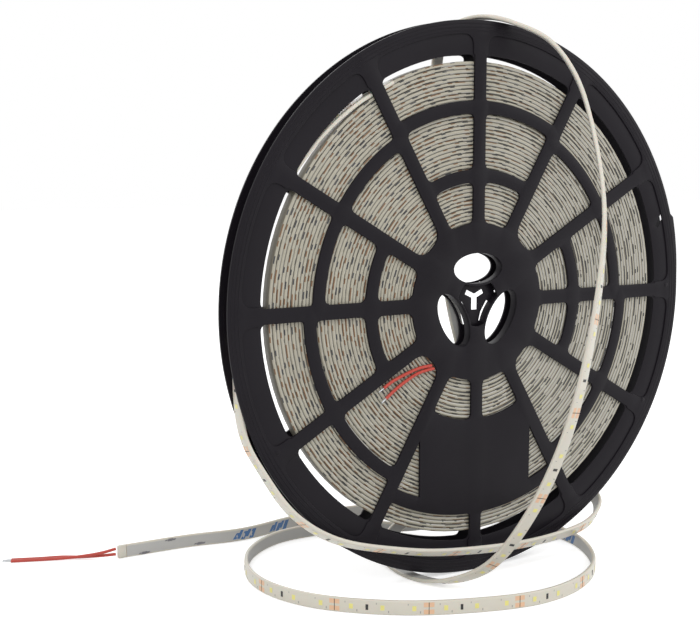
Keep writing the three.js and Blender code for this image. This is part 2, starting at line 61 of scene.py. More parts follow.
# The strip's route: off the coil, past the lower rim in front, round behind and forward
# under the rim, up in front in a bow, over the top, down behind, and round a loop on the
# floor. Each point, in mm, has the direction that the lit side faces.
STRIP_ROUTE = [
    ((-56.8, 0, 121.5), (-0.42, 0, 0.91)),
    ((-81.2, 0, 108.2), (-0.6, 0, 0.8)),
    ((-105, 0, 88), (-0.77, 0, 0.64)),
    ((-131, 0, 52.2), (-0.93, 0, 0.36)),
    ((-147, 0, 5.1), (-1, 0, 0.03)),
    ((-149.8, 0, -34.6), (-0.97, 0, -0.24)),
    ((-146.4, -0.6, -63.5), (-0.91, 0, -0.41)),
    ((-138.8, -6, -81.5), (-0.86, -0.03, -0.5)),
    ((-123.5, -10.6, -104.6), (-0.74, -0.2, -0.64)),
    ((-100, -13.5, -121.5), (-0.5, -0.4, -0.77)),
    ((-60, -16.9, -133.3), (-0.22, -0.5, -0.84)),
    ((-27, -18, -139.2), (-0.1, -0.6, -0.8)),
    ((41, -15.5, -144.1), (0.1, -0.72, -0.68)),
    ((86, -9, -140.5), (0.45, -0.8, -0.4)),
    ((102, 3, -132.5), (1, 0.1, -0.1)),
    ((96, 17, -121.5), (0.5, 0.85, 0.1)),
    ((70, 25, -113), (0, 1, 0.05)),
    ((30, 44, -123), (0, 1, 0)),
    ((-8, 53.5, -141), (-0.25, 0.95, -0.1)),
    ((-32, 44, -151.8), (-0.85, 0.4, -0.4)),
    ((-40, 20, -155.7), (-0.05, 0, -1)),
    ((-39, -6, -156.1), (0, -0.1, -1)),
    ((-32, -25, -153), (-0.15, -0.6, -0.78)),
    ((-19.7, -43.4, -142), (-0.2, -0.85, -0.48)),
    ((-9.5, -65, -110.5), (-0.1, -0.95, -0.3)),
    ((2.5, -80.5, -64), (0.17, -0.98, -0.1)),
    ((14.2, -85.2, -10.5), (0.47, -0.88, 0)),
    ((28.5, -77, 50), (0.72, -0.68, 0.15)),
    ((34.5, -62, 90), (0.76, -0.6, 0.25)),
    ((37, -43, 125.2), (0.7, -0.57, 0.42)),
    ((31.5, -26.5, 146), (0.52, -0.45, 0.72)),
    ((19.5, -11.8, 156), (0.25, -0.28, 0.93)),
    ((10, -2, 159.8), (0.05, -0.05, 1)),
    ((1, 7, 159.2), (-0.2, 0.3, 0.93)),
    ((-8, 14, 152.5), (-0.35, 0.8, 0.5)),
    ((-15, 15, 138), (-0.2, 0.97, 0.1)),
    ((-17, 10, 112), (0, 1, 0)),
    ((-9.6, 8.4, 6), (0, 1, 0)),
    ((3.4, 9.5, -40), (0, 1, 0)),
    ((16, 17, -84), (0, 1, 0.15)),
    ((19, 35, -122), (0, 0.85, 0.5)),
    ((14, 55.5, -147), (0.2, 0.45, 0.9)),
    ((0, 77, -153.4), (0.7, 0.45, 0.5)),
    ((-22, 93.5, -153), (0.35, 0.95, 0)),
    ((-50, 99, -153.3), (-0.05, 1, 0)),
    ((-78, 96, -153.3), (-0.3, 1, 0)),
    ((-105, 77, -153.3), (-0.7, 0.7, 0)),
    ((-121.5, 47, -153.3), (-0.95, 0.3, 0)),
    ((-123.5, 17, -153.3), (-1, -0.1, 0)),
    ((-111, -14, -153.3), (-0.75, -0.6, 0)),
    ((-78.5, -45, -153.3), (-0.5, -0.85, 0)),
    ((-43, -62, -153.3), (-0.3, -0.95, 0)),
    ((-6, -70.5, -153.3), (0, -1, 0)),
    ((27, -64.5, -153.3), (0.35, -0.9, 0)),
    ((57, -44.5, -153.3), (0.6, -0.75, 0)),
    ((77.5, -11, -153.3), (0.9, -0.4, 0)),
    ((81.5, 16, -153.3), (1, 0, 0)),
    ((76, 50, -153.3), (0.95, 0.3, 0)),
    ((48, 97, -153.3), (0.7, 0.7, 0)),
    ((2, 120, -153.3), (0.1, 1, 0)),
    ((-46, 122.5, -153.3), (-0.1, 1, 0)),
    ((-91.7, 114.5, -153.3), (-0.05, 1, 0)),
    ((-127, 119.3, -153.3), (0.03, 1, 0)),
    ((-167, 120.5, -153.3), (0, 1, 0)),
]
# Distances along the route, in mm, of the marks printed on the adhesive side, and for the
# smudges their places across it
TAPE_BARS = (1966, 2187, 2214)
TAPE_SMUDGES = ((2168, 2), (2243, 2.2), (2262, -2.6), (2279, 2.8))
# Each lead's route in mm, from the end of the strip to the end of its cover
LEAD_ROUTES = {
    "outer_lead_near": [
        (-173.2, 121.3, -151.4), (-181.5, 122.6, -152.8), (-192.2, 129, -155),
        (-202, 135.2, -156.3), (-213.8, 140, -156.5), (-229.5, 146.2, -156.5),
    ],
    "outer_lead_far": [
        (-173.2, 121.3, -154.7), (-181.5, 124.6, -155.2), (-191, 131.5, -156.2),
        (-201, 138.4, -156.5), (-212.8, 142.4, -156.5), (-228.5, 148.6, -156.5),
    ],
    "inner_lead_upper": [
        (-31.8, -5.2, -34.1), (-35, -5.2, -34.3), (-40, -5.2, -34.9),
        (-48.9, -5.2, -37.4), (-58.1, -5.2, -40.9), (-63.4, -5.2, -44),
    ],
    "inner_lead_lower": [
        (-30.2, -5.2, -36), (-34, -5.2, -36.3), (-40.8, -5.2, -37.7),
        (-47.5, -5.2, -40.7), (-55.4, -5.2, -45.2), (-62, -5.2, -50),
    ],
}
ROUTE_STEPS = 8


def in_mm(size):
    """A size in metres as mm, cleared of the rounding that a property brings."""
    return round(size / MM, 3)


def length(name, description, value):
    """A length in metres that a user can change."""
    return FloatProperty(
        name=name, description=description, default=value, subtype="DISTANCE", unit="LENGTH"
    )


def colour(name, description, red, green, blue):
    """A colour, given as it is seen on a screen from 0 to 255 a channel."""
    return FloatVectorProperty(
        name=name,
        description=description,
        default=tuple(linear(channel / 255) for channel in (red, green, blue)),
        size=3,
        min=0,
        max=1,
        subtype="COLOR",
    )


def linear(channel):
    if channel <= 0.04045:
        return channel / 12.92
    return ((channel + 0.055) / 1.055) ** 2.4


class StripSettings(bpy.types.PropertyGroup):
    """The strip, its printed board and its leads."""

    width: length("Width", "Width of the sleeve", 8 * MM)
    thickness: length("Thickness", "Thickness of the sleeve", 2.2 * MM)
    edge: length("Edge", "Rounding of the sleeve's edges", 0.8 * MM)
    cell: length("Cell", "Distance between two cut marks", 50 * MM)
    first_cut: length("First cut", "Distance from the coil to the first cut mark", 29 * MM)
    diode: length("Diode", "Size of a diode across the strip", 3.5 * MM)
    lead: length("Lead", "Diameter of a covered lead", 1.8 * MM)
    tip: length("Bare tip", "Diameter of a lead's bare tip", 0.9 * MM)
    sleeve: colour("Sleeve", "Silicone over the white board", 211, 206, 193)
    phosphor: colour("Phosphor", "Windows of the diodes", 229, 221, 134)
    copper: colour("Copper", "Solder pads at the cut marks", 226, 186, 152)
    resistor: colour("Resistor", "Chip resistors", 30, 28, 28)
    print_grey: colour("Grey print", "Small marks on the board", 158, 156, 150)
    tape: length("Tape", "How far the adhesive tape stands out of the sleeve", 0.06 * MM)
    tape_grey: colour("Tape grey", "Adhesive tape on the back", 186, 185, 182)
    tape_print: colour("Tape print", "Bars on the adhesive side", 70, 110, 160)
    smudge: colour("Smudge", "Small grey marks on the adhesive side", 118, 116, 120)
    red: colour("Red cover", "Cover of the leads", 184, 62, 48)
    tin: colour("Tin", "Bare ends of the leads", 178, 180, 182)


class CoilSettings(bpy.types.PropertyGroup):
    """The wound part of the strip."""

    inner: length("Inner radius", "Middle of the innermost turn", 39.4 * MM)
    outer: length("Outer radius", "Middle of the outermost turn", 134.1 * MM)
    turns: IntProperty(name="Turns", description="Turns on the drum", default=43, min=2)
    steps: IntProperty(name="Steps", description="Steps in each turn", default=96, min=24)
    silicone: colour("Silicone", "Edges of the sleeve", 172, 167, 151)
    taped: colour("Taped side", "Edges of the sleeve on the taped side", 184, 183, 179)
    shade: colour("Shade", "Clefts between the turns", 126, 121, 109)
    copper_dash: colour("Copper dash", "Pads seen through the sleeve", 122, 88, 58)
    dark_dash: colour("Dark dash", "Parts and tape seen through the sleeve", 58, 60, 66)


class ReelSettings(bpy.types.PropertyGroup):
    """The two halves of the reel."""

    radius: length("Radius", "Radius of a flange", 157.5 * MM)
    opening: length("Opening", "Radius of the windows' outer side", 138.6 * MM)
    band: length("Band", "Width of the raised band on the rim", 7.6 * MM)
    spoke: length("Spoke", "Width of a spoke", 8 * MM)
    relief: length("Relief", "Height of spokes and band over the rim's pockets", 0.8 * MM)
    bevel: length("Bevel", "Rounding of the moulded edges", 0.28 * MM)
    drum: length("Drum", "Radius of the drum", 38 * MM)
    plate: length("Hub plate", "Radius of the hub plate", 45 * MM)
    plastic: colour("Plastic", "Moulded black plastic", 24, 21, 26)


class StageSettings(bpy.types.PropertyGroup):
    """Camera, light and floor."""

    camera_place: FloatVectorProperty(
        name="Camera place",
        description="Where the camera stands",
        default=(-0.41903, -0.55807, 0.07645),
        subtype="XYZ_LENGTH",
        unit="LENGTH",
    )
    camera_turn: FloatVectorProperty(
        name="Camera turn",
        description="How the camera is turned",
        default=(math.radians(83.06), 0, math.radians(-31.13)),
        subtype="EULER",
    )
    lens: FloatProperty(name="Lens", description="Focal length in mm", default=62.53, min=1)
    floor_size: length("Floor size", "Side of the square floor", 12)
    key_power: FloatProperty(name="Key", description="Key light, in watts", default=17)
    fill_power: FloatProperty(name="Fill", description="Fill and back lights, in watts", default=9)
    room_light: FloatProperty(name="Room", description="Strength of the room", default=0.62)


# ---- materials ----


def add_node(tree, kind, inputs=None, **settings):
    """Adds a node; each of its inputs takes a value or another node's output."""
    node = tree.nodes.new(kind)
    for name, value in settings.items():
        setattr(node, name, value)
    for name, value in (inputs or {}).items():
        if isinstance(value, bpy.types.NodeSocket):
            tree.links.new(value, node.inputs[name])
        else:
            node.inputs[name].default_value = value
    return node


def math_of(tree, operation, *values):
    """What a Math node makes of numbers and other nodes' outputs."""
    node = add_node(tree, "ShaderNodeMath", dict(enumerate(values)), operation=operation)
    return node.outputs[0]


def rgba(tone, strength=1):
    return (*[min(1, channel * strength) for channel in tone], 1)


def mixed(tree, share, first, second):
    """Blends two colours or colour outputs by a share."""
    inputs = {"Factor": share, "A": first, "B": second}
    return add_node(tree, "ShaderNodeMix", inputs, data_type="RGBA").outputs["Result"]


def material(name, base, roughness, noise_scale, variation, bump, extra=()):
    """A moulded or cast finish: a base colour with soft patches and a fine grain.

    The extra pairs name further inputs of the shader and give their values.
    """
    made = bpy.data.materials.new(name)
    made.use_nodes = True
    tree = made.node_tree
    shader = tree.nodes["Principled BSDF"]
    for socket, value in (("Roughness", roughness), *extra):
        shader.inputs[socket].default_value = value
    place = add_node(tree, "ShaderNodeTexCoord").outputs["Object"]
    patches, grain = (
        add_node(
            tree, "ShaderNodeTexNoise", {"Vector": place, "Scale": scale, "Detail": detail}
        ).outputs["Fac"]
        for scale, detail in ((noise_scale, 4), (noise_scale * 25, 3))
    )
    tint = mixed(tree, patches, rgba(base, 1 - variation), rgba(base, 1 + variation))
    tree.links.new(tint, shader.inputs["Base Color"])
    height = {"Strength": bump, "Distance": 0.1 * MM, "Height": grain}
    relief = add_node(tree, "ShaderNodeBump", height)
    tree.links.new(relief.outputs["Normal"], shader.inputs["Normal"])
    return made


def dash_share(tree, along, cell, start, span):
    """1 where the distance along the strip falls in a span of each cell, otherwise 0."""
    place = math_of(tree, "FLOORED_MODULO", math_of(tree, "SUBTRACT", along, start), cell)
    return math_of(tree, "LESS_THAN", place, span)


def coil_material(settings, cell):
    """Silicone edges with the board's pads and parts showing through as short dashes.

    The mesh's map gives the distance along the strip and the place round its section:
    0 to 1 on the lit side, 1 to 2 on the edges and 2 to 3 on the taped side, with the
    clefts at 0 and 3. A dash has its start and its span in mm after each cut mark.
    """
    made = material("coil silicone", settings.silicone, 0.5, 60, 0.1, 0.2)
    tree = made.node_tree
    base = tree.nodes["Principled BSDF"].inputs["Base Color"]
    strip_map = add_node(tree, "ShaderNodeUVMap", uv_map="Strip").outputs["UV"]
    places = add_node(tree, "ShaderNodeSeparateXYZ", {0: strip_map}).outputs
    along, around = places["X"], places["Y"]
    lit, taped = (math_of(tree, "COMPARE", around, middle, 0.34) for middle in (0.5, 2.5))
    tone = mixed(tree, taped, base.links[0].from_socket, rgba(settings.taped))
    for start, span, dash, side in (
        (0, 7, settings.copper_dash, lit),
        (9, 3, settings.copper_dash, lit),
        (17, 4, settings.dark_dash, lit),
        (26, 3, settings.copper_dash, lit),
        (42, 3, settings.dark_dash, lit),
        (8, 12, settings.dark_dash, taped),
    ):
        share = dash_share(tree, along, cell, start * MM, span * MM)
        tone = mixed(tree, math_of(tree, "MULTIPLY", share, side), tone, rgba(dash))
    for middle, reach in ((3.0, 0.32), (0.0, 0.14)):
        cleft = math_of(tree, "COMPARE", around, middle, reach)
        tone = mixed(tree, cleft, tone, rgba(settings.shade))
    streaks = add_node(
        tree, "ShaderNodeTexNoise", {"W": along, "Scale": 90, "Detail": 2}, noise_dimensions="1D"
    )
    broken = math_of(tree, "GREATER_THAN", streaks.outputs["Fac"], 0.6)
    streaked = math_of(tree, "MULTIPLY", broken, taped)
    tree.links.new(mixed(tree, streaked, tone, rgba(settings.dark_dash)), base)
    return made


# ---- meshes ----


def show(name, mesh, finish, replaced=()):
    """Puts a mesh in the scene as a piece of the reel."""
    piece = bpy.data.objects.new(name, mesh)
    bpy.context.scene.collection.objects.link(piece)
    mesh.materials.clear()
    mesh.materials.append(finish)
    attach(piece, "root")
    if replaced:
        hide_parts(*replaced)
    return piece


def mesh_of(name, points, faces, smooth_angle=40):
    """A mesh with outward faces, smooth where it bends by less than the given angle."""
    mesh = bpy.data.meshes.new(name)
    mesh.from_pydata([tuple(point) for point in points], [], faces)
    tidy = bmesh.new()
    tidy.from_mesh(mesh)
    bmesh.ops.recalc_face_normals(tidy, faces=tidy.faces)
    tidy.to_mesh(mesh)
    tidy.free()
    mesh.shade_smooth()
    mesh.set_sharp_from_angle(angle=math.radians(smooth_angle))
    return mesh


def smooth_route(points):
    """Points on a centripetal curve through the route, and each one's place in it."""
    points = [Vector(point) * MM for point in points]
    before = points[0] * 2 - points[1]
    after = points[-1] * 2 - points[-2]
    padded = [before, *points, after]
    line = []
    for i in range(len(points) - 1):
        p0, p1, p2, p3 = padded[i:i + 4]
        d0, d1, d2 = (
            max((b - a).length ** 0.5, 1e-6) for a, b in ((p0, p1), (p1, p2), (p2, p3))
        )
        leave = ((p1 - p0) / d0 - (p2 - p0) / (d0 + d1) + (p2 - p1) / d1) * d1
        reach = ((p2 - p1) / d1 - (p3 - p1) / (d1 + d2) + (p3 - p2) / d2) * d1
        for k in range(ROUTE_STEPS):
            t = k / ROUTE_STEPS
            place = (
                p1
                + leave * t
                + (3 * (p2 - p1) - 2 * leave - reach) * t**2
                + (2 * (p1 - p2) + leave + reach) * t**3
            )
            line.append((place, i + t))
    line.append((points[-1], len(points) - 1.0))
    return line


class Ribbon:
    """A flat strip's centre line, with the ways its lit side and its side edge face."""

    def __init__(self, centres, lit_ways):
        self.centres = centres
        self.travel = [0.0]
        for a, b in zip(centres, centres[1:]):
            self.travel.append(self.travel[-1] + (b - a).length)
        self.lit = []
        self.across = []
        for i, lit in enumerate(lit_ways):
            way = (centres[min(i + 1, len(centres) - 1)] - centres[max(i - 1, 0)]).normalized()
            normal = (lit - way * lit.dot(way)).normalized()
            self.lit.append(normal)
            self.across.append(way.cross(normal))

    def at(self, distance):
        """Centre, lit way and side way at a distance along the strip."""
        low = min(max(bisect_right(self.travel, distance) - 1, 0), len(self.travel) - 2)
        start, end = self.travel[low:low + 2]
        share = (distance - start) / (end - start)
        rows = (self.centres, self.lit, self.across)
        return [row[low].lerp(row[low + 1], share) for row in rows]


def sleeve_section(strip):
    """The sleeve's section as (out of the lit side, across), going round once."""
    edge = strip.edge
    thick = strip.thickness / 2 - edge
    wide = strip.width / 2 - edge
    section = []
    for i, (x, y) in enumerate(((1, 1), (-1, 1), (-1, -1), (1, -1))):
        for k in range(4):
            angle = math.radians(90 * i + 30 * k)
            section.append((x * thick + edge * math.cos(angle), y * wide + edge * math.sin(angle)))
    return section


def tube_faces(count, rings, first=0):
    """Faces of a closed tube whose rings of points follow one another."""
    last = first + (rings - 1) * count
    faces = [tuple(range(ring, ring + count)) for ring in (first, last)]
    for ring in range(first, last, count):
        for k in range(count):
            a, b = ring + k, ring + (k + 1) % count
            faces.append((a, b, b + count, a + count))
    return faces


def sweep(name, ribbon, section, smooth_angle=40):
    """A closed solid with one section all along a ribbon."""
    points = []
    for centre, lit, across in zip(ribbon.centres, ribbon.lit, ribbon.across):
        points.extend(centre + lit * x + across * y for x, y in section)
    faces = tube_faces(len(section), len(ribbon.centres))
    return mesh_of(name, points, faces, smooth_angle)


class Patches:
    """Small flat blocks that follow a ribbon, gathered in one mesh."""

    STEPS = 3
    ROOT = 0.1 * MM

    def __init__(self, ribbon, surface):
        self.ribbon = ribbon
        self.surface = surface
        self.points = []
        self.faces = []

    def add(self, middle, span, side, width, rise, slant=0.0):
        """A block of a span along and a width across, standing a rise over the surface."""
        low = self.surface - math.copysign(self.ROOT, self.surface)
        high = self.surface + rise
        first = len(self.points)
        for step in range(self.STEPS + 1):
            share = step / self.STEPS - 0.5
            for height, at_side in ((low, -0.5), (high, -0.5), (high, 0.5), (low, 0.5)):
                centre, lit, across = self.ribbon.at(middle + span * share + slant * at_side)
                self.points.append(centre + lit * height + across * (side + at_side * width))
        self.faces += tube_faces(4, self.STEPS + 1, first)

    def mesh(self, name):
        return mesh_of(name, self.points, self.faces)


def polar(radius, angle):
    return Vector((radius * math.cos(angle), radius * math.sin(angle)))


def circle(radius, count=96):
    return [polar(radius, 2 * math.pi * i / count) for i in range(count)]


def doubled_area(outline):
    return sum(a.cross(b) for a, b in zip(outline, outline[1:] + outline[:1]))


def moved_in(outline, amount):
    """The outline moved to its left, which is the side of the material."""
    moved = []
    for i, point in enumerate(outline):
        arrive = (point - outline[i - 1]).normalized()
        leave = (outline[(i + 1) % len(outline)] - point).normalized()
        normals = Vector((-arrive.y - leave.y, arrive.x + leave.x))
        moved.append(point + normals * (amount / max(0.4, 1 + arrive.dot(leave))))
    return moved


def holds(outline, point):
    """Whether a point lies inside an outline."""
    inside = False
    for a, b in zip(outline, outline[1:] + outline[:1]):
        if (a.y > point.y) != (b.y > point.y):
            if point.x < a.x + (b.x - a.x) * (point.y - a.y) / (b.y - a.y):
                inside = not inside
    return inside


def filled(outlines):
    """Triangles between the first outline and the holes in it, as point numbers."""
    points = [point for outline in outlines for point in outline]
    edges = []
    boxes = []
    first = 0
    for outline in outlines:
        count = len(outline)
        edges += [(first + k, first + (k + 1) % count) for k in range(count)]
        first += count
        across, up = zip(*outline)
        boxes.append((min(across), max(across), min(up), max(up), outline))
    made = delaunay_2d_cdt(points, edges, [], 0, 1e-7)
    places, triangles, sources = made[0], made[2], made[3]
    kept = []
    for triangle in triangles:
        centre = sum((places[k] for k in triangle), Vector((0, 0))) / 3
        depth = 0
        for left, right, low, high, outline in boxes:
            if left < centre.x < right and low < centre.y < high and holds(outline, centre):
                depth += 1
        if depth == 1:
            kept.append([sources[k][0] for k in triangle])
    return kept


def flat_solid(outlines, low, high, bevel):
    """A solid between two heights, rounded on top; outlines after the first are holes."""
    turned = []
    for k, outline in enumerate(outlines):
        leftward = doubled_area(outline) > 0
        turned.append(list(outline) if leftward == (k == 0) else list(reversed(outline)))
    levels = [(0, low), (0, high - bevel), (0.3 * bevel, high - 0.3 * bevel), (bevel, high)]
    solid = bmesh.new()
    rows = []
    for amount, height in levels:
        flat = [moved_in(outline, amount) for outline in turned]
        rows.append([solid.verts.new((*point, height)) for outline in flat for point in outline])
    for triangle in filled([moved_in(outline, bevel) for outline in turned]):
        solid.faces.new([rows[-1][k] for k in triangle])
    for triangle in filled(turned):
        solid.faces.new([rows[0][k] for k in reversed(triangle)])
    first = 0
    for outline in turned:
        count = len(outline)
        for k in range(count):
            a, b = first + k, first + (k + 1) % count
            for lower, upper in zip(rows, rows[1:]):
                solid.faces.new((lower[a], lower[b], upper[b], upper[a]))
        first += count
    return solid


# ---- the strip and its leads ----

# Places of the diodes and the resistor in mm after a cut mark, the end of the board that
# has none, and the depth by which ink lies in the tape
DIODES = (9.0, 25.7, 42.3)
RESISTOR = 17.5
BARE_END = 4 * MM
INK = 0.04 * MM


def loose_ribbon():
    line = smooth_route([at for at, _ in STRIP_ROUTE])
    ways = [Vector(lit).normalized() for _, lit in STRIP_ROUTE]
    lit_ways = []
    for _, place in line:
        i = min(int(place), len(ways) - 2)
        lit_ways.append(ways[i].lerp(ways[i + 1], place - i))
    return Ribbon([centre for centre, _ in line], lit_ways)


def printed_parts(strip, ribbon):
    """The board's parts along a ribbon, as meshes by name.

    Each group has its places after a cut mark, and rows with a block's place in the group,
    its span, its place across the board, its width and its rise, all in mm.
    """
    names = "diode_bodies diode_windows cut_pads cut_lines resistors board_marks"
    found = {name: Patches(ribbon, strip.thickness / 2) for name in names.split()}
    groups = (
        ((0,), (
            ("cut_pads", 0, 5.6, -1.9, 2.5, 0.05),
            ("cut_pads", 0, 5.6, 1.9, 2.5, 0.05),
            ("cut_lines", 0, 0.35, 0, 6.4, 0.08),
        )),
        (DIODES, (
            ("diode_bodies", 0, 2.9, 0, in_mm(strip.diode), 0.12),
            ("diode_windows", 0, 2.1, 0, 2.7, 0.16),
            ("board_marks", 3.2, 0.5, 2.1, 1.2, 0.04),
            ("board_marks", -3.2, 0.4, -2.1, 0.9, 0.04),
        )),
        ((RESISTOR,), (("resistors", 0, 1.4, 0, 3, 0.14),)),
    )
    end = ribbon.travel[-1] - BARE_END
    cut = strip.first_cut
    while cut < end:
        for places, rows in groups:
            for spot in [cut + place * MM for place in places if cut + place * MM < end]:
                for name, offset, *sizes in rows:
                    found[name].add(spot + offset * MM, *[size * MM for size in sizes])
        cut += strip.cell
    return found


def tape_prints(strip, ribbon):
    """Generic marks on the adhesive side by name: slanted blue bars, and small grey smudges.

    A row has a mark's place in its group, its span, its place across the tape and its
    width, all in mm.
    """
    surface = -strip.thickness / 2 - strip.tape
    found = {name: Patches(ribbon, surface) for name in ("tape_bars", "tape_smudges")}
    bars = (
        (-5.6, 3.0, 0.3, 5.6), (-2.4, 2.2, -0.5, 4.4), (0.4, 2.6, 0.6, 4.8),
        (3.2, 1.9, -0.3, 5.4), (5.8, 2.3, 0.5, 3.8),
    )
    smudges = ((-1.8, 2.2, 0, 1.1), (0.6, 3.0, 0, 1.6), (3.1, 1.6, 0, 0.8))
    groups = [("tape_bars", spot, 0, bars, 2.6) for spot in TAPE_BARS]
    groups += [("tape_smudges", *place, smudges, 0.8) for place in TAPE_SMUDGES]
    for name, spot, side, rows, slant in groups:
        for offset, span, shift, width in rows:
            found[name].add(
                (spot + offset) * MM, span * MM, (side + shift) * MM, width * MM, -INK,
                slant=slant * MM,
            )
    return found


def tape_section(strip):
    """The adhesive tape on the side away from the diodes, let into the sleeve."""
    outer = -strip.thickness / 2 - strip.tape
    inner = -strip.thickness / 2 + 0.2 * MM
    half = strip.width / 2 - strip.edge
    return [(outer, -half + 0.1 * MM), (inner, -half), (inner, half), (outer, half - 0.1 * MM)]


def strands(name, start, finish, radius):
    """A bare end: tinned strands in a slow twist, dying to a blunt point."""
    way = (finish - start).normalized()
    side = way.orthogonal().normalized()
    other = way.cross(side)
    rings, lobes, count = 15, 6, 36
    twist, groove, blunt = 5, 0.13, 0.1
    points = []
    for ring in range(rings):
        share = ring / (rings - 1)
        centre = start.lerp(finish, share)
        ease = 1 - 0.5 * max(0, share - (1 - blunt)) / blunt
        for k in range(count):
            angle = 2 * math.pi * k / count
            swell = 1 - groove * (0.5 + 0.5 * math.cos(lobes * angle + twist * share))
            reach = radius * swell * ease
            points.append(centre + (side * math.cos(angle) + other * math.sin(angle)) * reach)
    return mesh_of(name, points, tube_faces(count, rings))


class REEL_OT_stage(bpy.types.Operator):
    """Makes the camera, the soft studio light and the pale floor"""

    bl_idname = "reel.stage"
    bl_label = "Stage"
    AIM = Vector((0, 0, -0.03))
    FLOOR_GLOW = 0.5

    def execute(self, context):
        stage = context.scene.strip_reel_stage
        scene = context.scene
        scene.view_settings.view_transform = "Standard"
        lens = bpy.data.cameras.new("camera")
        lens.lens = stage.lens
        lens.sensor_width = 36
        lens.clip_start = 0.01
        camera = bpy.data.objects.new("camera", lens)
        camera.location = stage.camera_place
        camera.rotation_euler = stage.camera_turn
        scene.collection.objects.link(camera)
        scene.camera = camera
        self.room(scene, stage)
        self.lamp(scene, "key light", (-0.9, -1.1, 1.5), 1.4, stage.key_power)
        self.lamp(scene, "fill light", (1.3, -0.9, 0.8), 1.6, stage.fill_power)
        self.lamp(scene, "back light", (0.3, 1.4, 1.3), 1.4, stage.fill_power)
        self.floor(scene, stage)
        return {"FINISHED"}

    def room(self, scene, stage):
        """Even light for the object, and white for what is seen past or in it."""
        world = bpy.data.worlds.new("room")
        world.use_nodes = True
        scene.world = world
        tree = world.node_tree
        tree.nodes.remove(tree.nodes["Background"])
        blend = seen_blend(tree, "ShaderNodeBackground", stage.room_light, 1)
        tree.links.new(blend, tree.nodes["World Output"].inputs["Surface"])

    def lamp(self, scene, name, place, size, power):
        light = bpy.data.lights.new(name, "AREA")
        light.shape = "SQUARE"
        light.size = size
        light.energy = power
        lamp = bpy.data.objects.new(name, light)
        lamp.location = place
        lamp.rotation_euler = (self.AIM - Vector(place)).to_track_quat("-Z", "Y").to_euler()
        scene.collection.objects.link(lamp)

    def floor(self, scene, stage):
        """A pale sheet under the reel; its white is set for the camera and its shadow kept."""
        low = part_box("front_flange")[0][2]
        half = stage.floor_size / 2
        mesh = bpy.data.meshes.new("floor")
        mesh.from_pydata(
            [(x * half, y * half, low) for x, y in ((-1, -1), (1, -1), (1, 1), (-1, 1))],
            [],
            [(0, 1, 2, 3)],
        )
        paper = material("pale paper", (0.86, 0.86, 0.86), 0.9, 3, 0.01, 0.02)
        tree = paper.node_tree
        sheet = tree.nodes["Principled BSDF"].outputs[0]
        blend = seen_blend(tree, "ShaderNodeEmission", 0, self.FLOOR_GLOW)
        total = add_node(tree, "ShaderNodeAddShader", {0: sheet, 1: blend})
        tree.links.new(total.outputs[0], tree.nodes["Material Output"].inputs["Surface"])
        mesh.materials.append(paper)
        floor = bpy.data.objects.new("floor", mesh)
        scene.collection.objects.link(floor)


def seen_blend(tree, kind, plain, seen):
    """White of one strength, and of another for rays from the camera, gloss or clear matter."""
    path = add_node(tree, "ShaderNodeLightPath").outputs
    share = path["Is Camera Ray"]
    for name in ("Is Glossy Ray", "Is Transmission Ray"):
        share = math_of(tree, "MAXIMUM", share, path[name])
    inputs = {0: share}
    for k, strength in ((1, plain), (2, seen)):
        white = add_node(tree, kind, {"Color": (1, 1, 1, 1), "Strength": strength})
        inputs[k] = white.outputs[0]
    return add_node(tree, "ShaderNodeMixShader", inputs).outputs[0]


class REEL_OT_loose_strip(bpy.types.Operator):
    """Makes the strip's free length with its diodes, pads, resistors and end plug"""

    bl_idname = "reel.loose_strip"
    bl_label = "Loose strip"

    def execute(self, context):
        strip = context.scene.strip_reel_strip
        ribbon = loose_ribbon()
        soft = (("Subsurface Weight", 0.12), ("Subsurface Scale", 1.2 * MM))
        sleeve = material("strip sleeve", strip.sleeve, 0.34, 90, 0.035, 0.12, soft)
        mesh = sweep("strip_sleeve", ribbon, sleeve_section(strip))
        piece = show("strip_sleeve", mesh, sleeve, ["loose_strip"])
        board, ink = (300, 0.06, 0.1), (200, 0.3, 0.05)
        finishes = {
            "diode_bodies": (strip.sleeve, 0.4, *board),
            "diode_windows": (strip.phosphor, 0.35, *board),
            "cut_pads": (strip.copper, 0.4, *board),
            "cut_lines": (strip.resistor, 0.5, *board),
            "resistors": (strip.resistor, 0.4, *board),
            "board_marks": (strip.print_grey, 0.5, *board),
            "tape_bars": (strip.tape_print, 0.5, *ink),
            "tape_smudges": (strip.smudge, 0.5, *ink),
        }
        for name, patches in (printed_parts(strip, ribbon) | tape_prints(strip, ribbon)).items():
            finish = material(name, *finishes[name])
            show(name, patches.mesh(name), finish)
        grey = material("adhesive tape", strip.tape_grey, 0.6, 60, 0.06, 0.15)
        tape = sweep("adhesive_tape", ribbon, tape_section(strip))
        show("adhesive_tape", tape, grey)
        self.end_plug(strip, sleeve)
        return {"FINISHED"}

    def end_plug(self, strip, finish):
        """The soft plug that closes the sleeve, rounded towards the leads."""
        low, high = (Vector(corner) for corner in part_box("end_seal"))
        middle = (low + high) / 2
        span, thick, wide = high - low
        corner = 0.9 * MM
        shares = ((0, 0.97), (0.04, 1), (0.6, 1), (0.8, 0.97), (0.93, 0.86), (1, 0.68))
        outline = sleeve_section(strip)
        points = [
            middle
            + Vector((
                span * (0.5 - share),
                x / strip.thickness * thick * size,
                y / (strip.width / 2) * (wide / 2 - corner * (1 - size)),
            ))
            for share, size in shares
            for x, y in outline
        ]
        mesh = mesh_of("end_plug", points, tube_faces(len(outline), len(shares)))
        return show("end_plug", mesh, finish, ["end_seal"])


